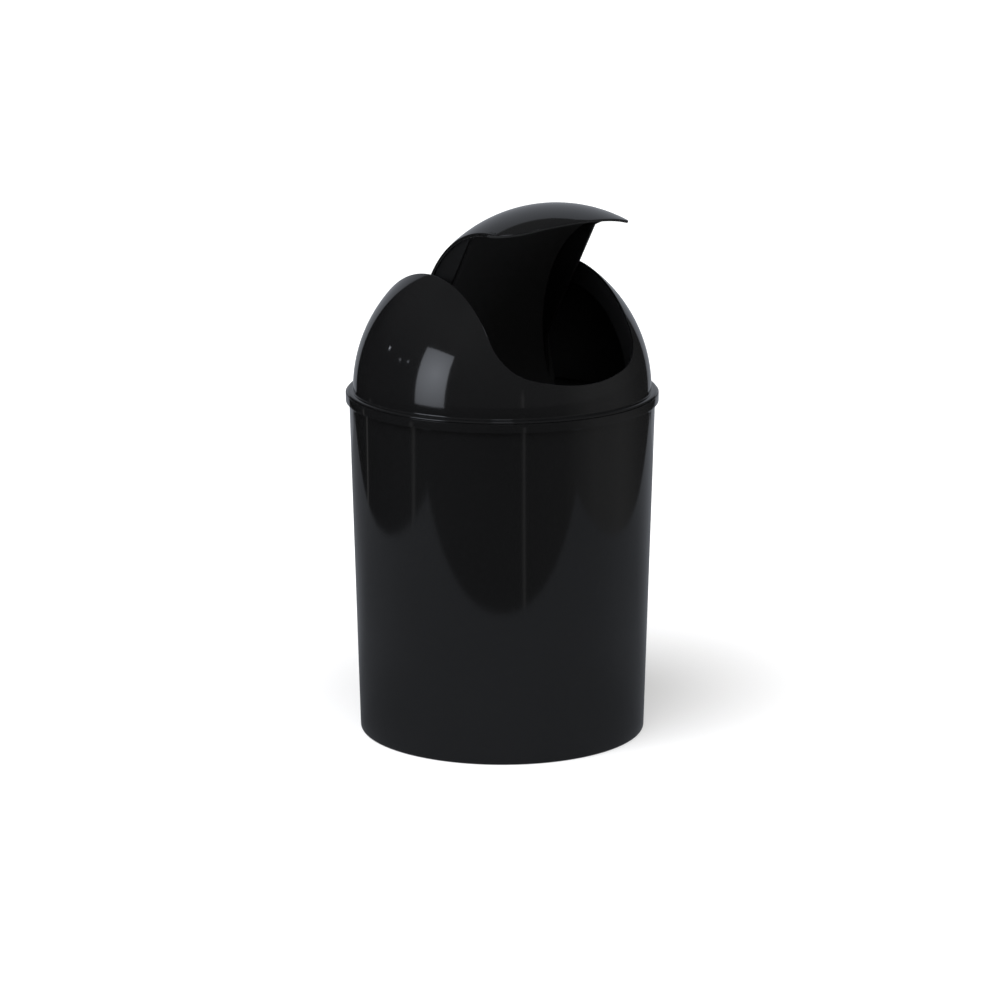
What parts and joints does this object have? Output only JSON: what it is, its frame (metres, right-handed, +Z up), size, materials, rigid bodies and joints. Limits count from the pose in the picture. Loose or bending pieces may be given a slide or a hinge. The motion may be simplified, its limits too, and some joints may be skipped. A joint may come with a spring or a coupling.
{
  "type": "countertop trash can with swing lid",
  "caption": "Small round waste bin with a lift-off dome cover and a flap that swings on its own pins.",
  "frame": {"origin": "centre of the base, on the table", "axes": "+Z up along the bin's axis, front (the side to which the flap stands open) towards -Y, +X to the right of someone who looks from the front"},
  "size_m": [0.19, 0.19, 0.3332],
  "materials": {
    "bin_plastic": "glossy moulded black polypropylene",
    "cover_plastic": "glossy moulded black polypropylene",
    "flap_plastic": "glossy moulded black polypropylene"
  },
  "bodies": {
    "bin": {"bin": "bin_plastic"},
    "cover": {"dome_cover": "cover_plastic"},
    "flap": {"swing_flap": "flap_plastic"}
  },
  "joints": [
    {"name": "cover_lift", "type": "slide", "parent": "bin", "child": "cover", "axis": [0, 0, 1], "range_m": [0, 0.08]},
    {"name": "flap_swing", "type": "hinge", "parent": "cover", "child": "flap", "pos_m": [0, 0, 0.2798], "axis": [-1, 0, 0], "range_deg": [-137, 23]}
  ]
}
